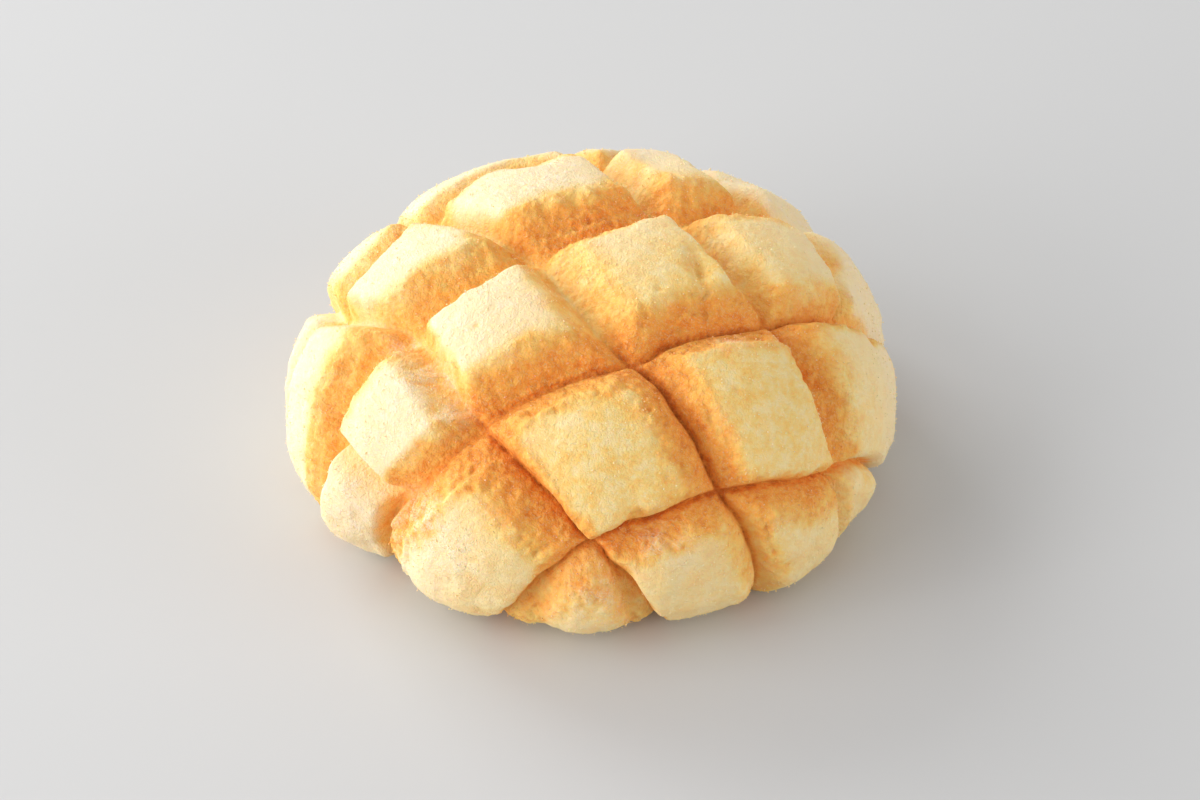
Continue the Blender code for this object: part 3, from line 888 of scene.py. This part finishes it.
# %% Scatter the grains
GRAIN_COUNT = 13000
GRAIN_SIZES = (0.00010, 0.00026)
GRAIN_STAND = 0.15                   # of its size, from the dough up to the middle of a grain
LOWEST_GRAIN = 0.0012                # none where the bun touches the table
grain_weight = np.zeros(len(crust.data.vertices))       # the turned edge, added last, has none
grain_weight[:len(browning)] = ((0.35 + 4.0 * frost + 0.2 * browning) * (1 - 0.85 * below_rim)
                                * smooth(0.0008, 0.0030, from_crease)
                                * (shaped[:, 2] > LOWEST_GRAIN))
sugar = scatter("sugar_grains", GRAIN_COUNT, GRAIN_SIZES, grain_weight, GRAIN_STAND)
print("sugar:", len(sugar.data.polygons), "faces")

# %% Material of the sugar
crystal, crystal_shader, places = begin("sugar_crystal")
under = bake_shade(places, 0.05 + 0.74 * stored(places, "browning"))
whiten = speckle(places, 0.0012, 1.0).ease(0.3, 0.7) * 0.25 + 0.10
feed(crystal_shader, Base_Color=whiten.blend(under, colour(255, 248, 232)))
crystal_shader.inputs["Roughness"].default_value = 0.35
crystal_shader.inputs["Subsurface Weight"].default_value = 0.3
crystal_shader.inputs["Subsurface Scale"].default_value = 0.0010
sugar.data.materials.append(crystal)
print("sugar material has", len(crystal.node_tree.nodes), "nodes")

# %% [markdown]
# ## Joining the pieces to the imported model
# Crust and bread together stand for the one imported solid, so the crust replaces
# it, and the three pieces ride on the same body.

# %% Ride and replace
for piece in (crust, bread, sugar):
    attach(piece, "root")
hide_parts(NODE)
print(crust.name, "stands for", NODE)

# %% [markdown]
# ## Floor, light and camera
# The bun is shown as on a table by a row of windows. The floor is pale and has no
# edge in view. Four broad soft lights stand in an arc from behind left to front
# left, one on the right stands in for a white card, and an even bright sky fills
# the shadows. The camera looks down at the bun with a long lens.

# %% Floor
FLOOR_SIDE = 6.0
FLOOR_LEVEL = -0.0001                # a hair below the bun's base, so that the two never share a plane
clear_selection()
bpy.ops.mesh.primitive_plane_add(size=FLOOR_SIDE, location=(0, 0, FLOOR_LEVEL))
floor = bpy.context.object
floor.name = "floor"
paint, paint_shader, places = begin("pale_table")
paint_shader.inputs["Base Color"].default_value = colour(204, 204, 204)
paint_shader.inputs["Roughness"].default_value = 0.65
paint_shader.inputs["Specular IOR Level"].default_value = 0.2
floor.data.materials.append(paint)
print("floor is", FLOOR_SIDE, "m square")

# %% Lights
AIM = Vector((0, 0, 0.02))
LAMP_DISTANCE, LAMP_SIZE = 1.6, 0.9


def softbox(name, azimuth, elevation, power):
    """A square light at an angle round the bun and a height, turned to the bun."""
    a, e = math.radians(azimuth), math.radians(elevation)
    lamp = bpy.data.lights.new(name, "AREA")
    lamp.shape = "SQUARE"
    lamp.size = LAMP_SIZE
    lamp.energy = power
    holder = bpy.data.objects.new(name, lamp)
    toward = Vector((math.cos(a) * math.cos(e), math.sin(a) * math.cos(e), math.sin(e)))
    holder.location = AIM + toward * LAMP_DISTANCE
    holder.rotation_euler = (AIM - holder.location).to_track_quat("-Z", "Y").to_euler()
    bpy.context.collection.objects.link(holder)


# azimuth and elevation in degrees, then power in watts
LAMPS = {"window_back": (130, 26, 12.5), "window_left": (150, 15, 6.0), "window_side": (185, 30, 8.6),
         "window_front": (210, 15, 12.4), "card_right": (-18, 12, 7.6)}
for name, lamp_values in LAMPS.items():
    softbox(name, *lamp_values)
print(len(LAMPS), "lamps,", round(sum(values[2] for values in LAMPS.values()), 1), "watts in all")

# %% Sky
SKY_STRENGTH = 0.545
world = bpy.data.worlds.new("studio")
bpy.context.scene.world = world
world.use_nodes = True
sky = world.node_tree.nodes["Background"]
sky.inputs["Color"].default_value = (1.0, 1.0, 1.0, 1)
sky.inputs["Strength"].default_value = SKY_STRENGTH
print("sky strength", SKY_STRENGTH)

# %% Camera and tone
CAMERA_TILT = math.radians(42)
CAMERA_DISTANCE = 0.610
LOOK_AT = Vector((0.0016, -0.0012, 0.0126))
camera_data = bpy.data.cameras.new("camera")
camera_data.lens = 100
camera_data.sensor_width = 36
camera = bpy.data.objects.new("camera", camera_data)
camera.location = LOOK_AT + Vector((0, -math.cos(CAMERA_TILT), math.sin(CAMERA_TILT))) * CAMERA_DISTANCE
camera.rotation_euler = (math.pi / 2 - CAMERA_TILT, 0, 0)
bpy.context.collection.objects.link(camera)
bpy.context.scene.camera = camera
bpy.context.scene.view_settings.view_transform = "Standard"
print("camera looks down from", round(camera.location.z, 3), "m")
